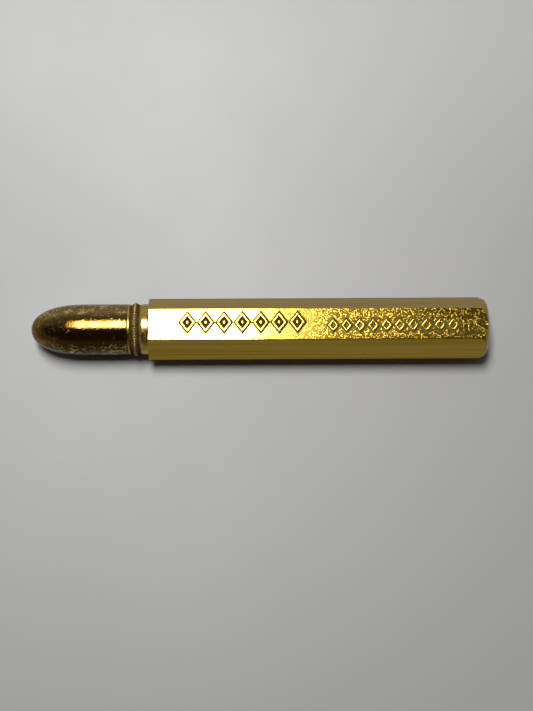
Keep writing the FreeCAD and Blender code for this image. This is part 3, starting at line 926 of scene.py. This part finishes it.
    def _plug(self) -> None:
        """Turn the stepped disc in the end, a little hollow in the middle."""
        back, end = self.plug.start, self.plug.end
        step = self.hole - 0.01
        outline = [(back, 0.0), (end - 0.06, 0.0), (end - 0.05, 0.8), (end - 0.02, 1.6), (end, 2.2),
                   (end, step), (end - self.wall, step), (end - self.wall, self.plug.radius),
                   (back, self.plug.radius)]
        bm = spin_outline(outline, self.axis, 96, closed=False)
        soften_edges(bm, 0.04)
        finish_piece(bm, "end_plug_skin", Body.BARREL, ["end_plug"],
                     TurnedMetal("turned_brass").material(self.groups))


# ---------------------------------------------------------------- nose


@dataclass
class Nose:
    """The hollow bullet that is turned to feed the lead."""

    groups: SharedGroups
    shell: Span = field(default_factory=lambda: Span.of("bullet_shell"))
    wall: float = 0.35
    ogive: float = 8.2
    fullness: float = 2.2
    finish: Finish = WornPatina("worn_patina")

    def build(self) -> None:
        """Make the shell as a lathe does, outside then inside."""
        base, radius = self.shell.end, self.shell.radius
        outline = [*self._curve(0.0), (base, radius),
                   (base, radius - self.wall), *self._curve(self.wall)[::-1]]
        bm = spin_outline(outline, self.shell.height, 160, closed=False)
        soften_edges(bm, 0.05)
        finish_piece(bm, "bullet_shell_skin", Body.NOSE, ["bullet_shell"],
                     self.finish.material(self.groups))

    def _curve(self, inset: float) -> list[Point]:
        """Draw the round nose as a slightly full ellipse.

        Args:
            inset: How far the curve is drawn in.

        Returns:
            Points from the tip to the start of the straight side.
        """
        length, radius = self.ogive - inset, self.shell.radius - inset
        power = 2 / self.fullness
        start = self.shell.start + inset
        return [
            (start + length * (1 - math.cos(turn) ** power), radius * math.sin(turn) ** power)
            for turn in spread(0, math.pi / 2, 48)
        ]


# ---------------------------------------------------------------- holder


@dataclass
class Holder:
    """The collar, grip ring, neck, tail tube and nozzle, all on one bush."""

    groups: SharedGroups
    collar: Span = field(default_factory=lambda: Span.of("front_collar"))
    ring: Span = field(default_factory=lambda: Span.of("beaded_ring"))
    neck: Span = field(default_factory=lambda: Span.of("neck_sleeve"))
    tail: Span = field(default_factory=lambda: Span.of("tail_tube"))
    nozzle: Span = field(default_factory=lambda: Span.of("nozzle"))
    bush: Span = field(default_factory=lambda: Span.of("neck_bush"))
    beads: int = 56
    bead_radius: float = 0.2
    slits: int = 4
    slit_width: float = 0.4
    slit_length: float = 7.5
    grip: Finish = TurnedMetal("grip_brass_worn", metal=(0.68, 0.48, 0.13, 1), shade=(0.52, 0.32, 0.07, 1),
                               roughness=0.17, tarnish=-0.02)
    inner: Finish = TurnedMetal("turned_brass")

    def build(self) -> None:
        """Make the pieces from front to back."""
        self._collar()
        self._ring()
        self._neck()
        self._tail()
        self._nozzle()

    def _collar(self) -> None:
        """A flat band with a dark groove before the ring."""
        start, end, radius, bore = self.collar.start, self.collar.end, self.collar.radius, self.bush.radius
        groove, face = start + 0.32, radius - 0.01
        outline = [(start, bore), (start, radius - 0.05), (start + 0.05, face), (groove, face),
                   (groove + 0.07, radius - 0.17), (end, radius - 0.19), (end, bore)]
        bm = spin_outline(outline, self.collar.height)
        soften_edges(bm, 0.02)
        # Grime and painted shade from the groove back to the ring.
        mark_creases(bm, lambda point: smooth_step((point.x - groove) / 0.06))
        finish_piece(bm, "front_collar_skin", Body.HOLDER, ["front_collar"],
                     self.grip.material(self.groups))

    def _ring(self) -> None:
        """A half-round ring with a row of beads raised along its crest."""
        start, end, top, bore = self.ring.start, self.ring.end, self.ring.radius, self.bush.radius
        middle, half = (start + end) / 2, self.ring.length / 2
        foot, crest = top - 0.46, top - 0.13
        outline = [(start, bore), (start, foot)]
        for turn in spread(0, math.pi, 30):
            outline.append((middle - half * 0.98 * math.cos(turn), foot + (crest - foot) * math.sin(turn)))
        outline += [(end, foot), (end, bore)]
        bm = spin_outline(outline, self.ring.height, self.beads * 10)
        seat = top - self.bead_radius
        for vert in bm.verts:
            radius = self._radius(vert.co)
            if radius < foot:
                continue
            angle = math.atan2(vert.co.y, vert.co.z - self.ring.height) * self.beads / math.tau
            apart = (angle - round(angle)) * math.tau / self.beads * seat
            room = self.bead_radius**2 - (vert.co.x - middle) ** 2 - apart**2
            if room > 0 and seat + math.sqrt(room) > radius:
                grow = (seat + math.sqrt(room)) / radius
                vert.co.y *= grow
                vert.co.z = self.ring.height + (vert.co.z - self.ring.height) * grow
        # Grime and painted shade on the ring's flanks, below the beads' crest.
        mark_creases(bm, lambda point: 0.9 * smooth_step((top - 0.07 - self._radius(point)) / 0.08))
        finish_piece(bm, "beaded_ring_skin", Body.HOLDER, ["beaded_ring"],
                     self.grip.material(self.groups), sharp=75)

    def _radius(self, point: Vector) -> float:
        """Distance of a point from the common axis."""
        return math.hypot(point.y, point.z - self.ring.height)

    def _neck(self) -> None:
        """The sprung sleeve: a spun skin with slits cut in its rear, given its wall."""
        start, end, radius = self.neck.start, self.neck.end, self.neck.radius
        wall = radius - self.bush.radius
        slit_start = end - self.slit_length
        outline = [(start, radius - 0.14), (start + 0.28, radius - 0.13), (start + 0.42, radius - 0.02),
                   (start + 0.5, radius)]
        outline += [(place, radius) for place in spread(start + 0.5, slit_start, 6)[1:]]
        outline += [(place, radius) for place in spread(slit_start, end - 0.25, 6)[1:]]
        outline += [(end - 0.1, radius - 0.04), (end, radius - 0.12)]
        bm = spin_outline(outline, self.neck.height, 240, closed=False)
        half = self.slit_width / 2 + 0.01
        gone = []
        for face in bm.faces:
            middle = face.calc_center_median()
            if middle.x < slit_start:
                continue
            angle = math.atan2(middle.y, middle.z - self.neck.height) * self.slits / math.tau
            if abs(angle - round(angle)) * math.tau / self.slits * radius < half:
                gone.append(face)
        bmesh.ops.delete(bm, geom=gone, context="FACES")
        bmesh.ops.recalc_face_normals(bm, faces=bm.faces[:])
        self._face_outwards(bm)
        bmesh.ops.solidify(bm, geom=bm.faces[:], thickness=wall - 0.01)
        soften_edges(bm, 0.02, 50)
        # Grime and painted shade in the groove beside the ring.
        mark_creases(bm, lambda point: 1 - smooth_step((point.x - start - 0.2) / 0.25))
        finish_piece(bm, "neck_sleeve_skin", Body.HOLDER, ["neck_sleeve"],
                     self.grip.material(self.groups))

    def _face_outwards(self, bm: bmesh.types.BMesh) -> None:
        """Turn an open sleeve's faces away from the axis."""
        face = max(bm.faces, key=lambda item: item.calc_center_median().z)
        if face.normal.z < 0:
            bmesh.ops.reverse_faces(bm, faces=bm.faces[:])

    def _tail(self) -> None:
        """The plain casing tube, with a pair of turned lines near each end."""
        start, end, radius = self.tail.start, self.tail.end, self.tail.radius
        bore = radius - 0.3
        line_depth, brow, floor = 0.06, 0.12, 0.04
        outline = [(start, bore), (start, radius)]
        for place in (start + 14.2, start + 14.9, end - 1.6, end - 0.9):
            outline += [(place - brow, radius), (place - floor, radius - line_depth),
                        (place + floor, radius - line_depth), (place + brow, radius)]
        outline += [(end, radius), (end, bore)]
        bm = spin_outline(outline, self.tail.height)
        soften_edges(bm, 0.02)
        # Darker in the turned lines.
        mark_creases(bm, lambda point: 0.9 * smooth_step(
            (radius - line_depth / 2 - self._radius(point)) / (line_depth / 2)))
        finish_piece(bm, "tail_tube_skin", Body.HOLDER, ["tail_tube"],
                     self.inner.material(self.groups))

    def _nozzle(self) -> None:
        """The tapered writing end, slightly hollowed along its cone, with its stepped bore."""
        start, end, radius = self.nozzle.start, self.nozzle.end, self.nozzle.radius
        shank, guide, throat = self.tail.end, Span.of("guide_tube"), start + 6.2
        bore, mouth, bevel, hollow, shank_wall, guide_wall = 1.05, 1.45, 0.15, 0.10, 0.3, 0.4
        cone = shank + 1.6
        line = cone - 0.6
        outline = [(start, guide.radius), (guide.end, guide.radius), (guide.end, guide.radius - guide_wall),
                   (throat, guide.radius - guide_wall), (throat + 0.7, bore), (end - 0.08, bore),
                   (end, bore + 0.08), (end, mouth - bevel), (end - bevel, mouth)]
        for share in spread(0, 1, 10)[1:-1]:
            sag = hollow * math.sin(math.pi * share)
            outline.append((end - bevel + (cone - end + bevel) * share,
                            mouth + (radius - mouth) * share - sag))
        outline += [(cone, radius), (line + 0.1, radius), (line, radius - 0.07), (line - 0.1, radius),
                    (shank, radius), (shank, radius - shank_wall), (start, radius - shank_wall)]
        bm = spin_outline(outline, self.nozzle.height)
        soften_edges(bm, 0.03)
        # Darker in the turned line before the cone.
        mark_creases(bm, lambda point: bell(point.x - line, 0.1))
        finish_piece(bm, "nozzle_skin", Body.HOLDER, ["nozzle"], self.inner.material(self.groups))


# ---------------------------------------------------------------- feed


@dataclass
class Feed:
    """The lead, and the sealed mechanism behind it, whose CAD shapes stay."""

    groups: SharedGroups
    nodes: dict[str, bpy.types.Object]
    lead: Span = field(default_factory=lambda: Span.of("lead"))
    point: float = 1.1
    point_radius: float = 0.22

    def build(self) -> None:
        """Make the lead and dress the hidden parts."""
        self._lead()
        brass = TurnedMetal("turned_brass").material(self.groups)
        steel = TurnedMetal("ground_steel", metal=(0.56, 0.56, 0.57, 1), shade=(0.42, 0.42, 0.44, 1),
                            grime_and_shade=(0.08, 0.07, 0.06, 1), roughness=0.22, tarnish=-0.12).material(self.groups)
        for name in ("neck_bush", "guide_tube", "nose_plug", "spiral_tube", "retaining_ring", "lead_carrier",
                     "lead_socket"):
            self._dress(name, brass)
        for name in ("carrier_pin", "push_rod", "drag_washer"):
            self._dress(name, steel)

    def _dress(self, name: str, material: bpy.types.Material) -> None:
        """Give a CAD node's object a material."""
        mesh = self.nodes[name].data
        mesh.materials.clear()
        mesh.materials.append(material)
        LOG.info("%s: dressed", name)

    def _lead(self) -> None:
        """A round lead with a worn, slightly oval writing point."""
        start, end, radius = self.lead.start, self.lead.end, self.lead.radius
        outline = [(start, 0.0), (start, radius)]
        outline += [(place, radius) for place in spread(start, end - self.point, 4)[1:]]
        for turn in spread(0, math.pi / 2, 8)[1:]:
            ease = math.sin(turn)
            outline.append((end - self.point + self.point * ease,
                            radius - (radius - self.point_radius) * (1 - math.cos(turn)) ** 0.8))
        outline.append((end, 0.0))
        bm = spin_outline(outline, self.lead.height, 64, closed=False)
        soften_edges(bm, 0.04, 40)
        finish_piece(bm, "lead_skin", Body.FEED, ["lead"],
                     Graphite("extruded_graphite").material(self.groups))


# ---------------------------------------------------------------- table, light and camera


@dataclass(frozen=True)
class Lamp:
    """A level rectangular lamp over the table, in millimetres, with its radiance."""

    name: str
    left: float
    right: float
    radiance: float
    near: float = 22.0
    far: float = 300.0
    height: float = 600.0


@dataclass
class Studio:
    """A pale table, large soft lamps overhead to the left and rear, a dim room, and the camera."""

    groups: SharedGroups
    table_size: float = 1600.0
    key: Lamp = Lamp("key_lamp", left=-128.0, right=-5.0, radiance=37.0)
    edge: Lamp = Lamp("edge_lamp", left=-5.0, right=28.0, radiance=1.4)
    haze: Lamp = Lamp("haze_lamp", left=28.0, right=80.0, radiance=0.28)
    room: Band = (0.035, 0.30)
    low_glow: Band = (0.10, 0.30)
    front_tone: Color = (1.0, 0.78, 0.62, 1)
    rear_tone: Color = (0.95, 0.97, 1.0, 1)
    distance: float = 250.0
    elevation: float = 81.0
    view_height: float = 111.8
    aim: tuple[float, float, float] = (1.14, -4.28, 4.2)
    roll: float = -0.29

    def build(self) -> None:
        """Set the stage."""
        self._table()
        for lamp in (self.key, self.edge, self.haze):
            self._hang(lamp)
        self._world()
        self._camera()

    def _table(self) -> None:
        """A large plane under the object."""
        bm = bmesh.new()
        bmesh.ops.create_grid(bm, x_segments=4, y_segments=4, size=self.table_size / 2 * MM)
        mesh = bpy.data.meshes.new("table_top")
        bm.to_mesh(mesh)
        bm.free()
        mesh.materials.append(PaleTable("pale_table").material(self.groups))
        table = bpy.data.objects.new("table_top", mesh)
        bpy.context.scene.collection.objects.link(table)

    def _hang(self, lamp: Lamp) -> None:
        """Hang a lamp that shines straight down.

        Args:
            lamp: The lamp's place and radiance.
        """
        data = bpy.data.lights.new(lamp.name, "AREA")
        data.shape = "RECTANGLE"
        data.size, data.size_y = (lamp.right - lamp.left) * MM, (lamp.far - lamp.near) * MM
        data.energy = lamp.radiance * math.pi * data.size * data.size_y
        hung = bpy.data.objects.new(lamp.name, data)
        hung.location = Vector(((lamp.left + lamp.right) / 2, (lamp.near + lamp.far) / 2, lamp.height)) * MM
        bpy.context.scene.collection.objects.link(hung)

    def _world(self) -> None:
        """A dim room, lighter and cooler on the side away from the viewer, and lighter low down."""
        world = bpy.data.worlds.new("room")
        world.use_nodes = True
        bench = NodeBench(world.node_tree)
        direction = bench.add("TexCoord").outputs["Generated"]
        parts = bench.split(direction)
        away = bench.ramp(parts["Y"], -0.1, 1.0)
        behind = bench.ramp(parts["Y"], -0.6, 0.3)
        low = bench.ramp(parts["Z"], 0.55, 0.20)
        glow = bench.times(low, bench.blend(behind, *self.low_glow))
        background = bench.add("Background")
        tone = bench.mix(behind, self.front_tone, self.rear_tone)
        bench.feed(background, Color=tone, Strength=bench.plus(bench.blend(away, *self.room), glow))
        output = bench.add("OutputWorld")
        world.node_tree.links.new(background.outputs["Background"], output.inputs["Surface"])
        bpy.context.scene.world = world

    def _camera(self) -> None:
        """Look down at the object from its front."""
        data = bpy.data.cameras.new("camera")
        data.sensor_fit = "AUTO"
        data.sensor_width = 36.0
        data.lens = self.distance * data.sensor_width / self.view_height
        data.clip_start = 0.005
        camera = bpy.data.objects.new("camera", data)
        angle = math.radians(self.elevation)
        toward = Vector((0, -math.cos(angle), math.sin(angle)))
        camera.location = (Vector(self.aim) + toward * self.distance) * MM
        tilt = Matrix.Rotation(math.radians(self.roll), 4, "Z")
        camera.rotation_euler = ((-toward).to_track_quat("-Z", "Y").to_matrix().to_4x4() @ tilt).to_euler()
        bpy.context.scene.collection.objects.link(camera)
        bpy.context.scene.camera = camera
        bpy.context.scene.view_settings.view_transform = "Standard"


# ---------------------------------------------------------------- making


def main() -> None:
    """Build every class in order."""
    logging.basicConfig(level=logging.INFO, format="%(name)s: %(message)s")
    groups = SharedGroups()
    Barrel(groups).build()
    Nose(groups).build()
    Holder(groups).build()
    Feed(groups, frame["nodes"]).build()
    Studio(groups).build()


if __name__ == "__main__":
    main()
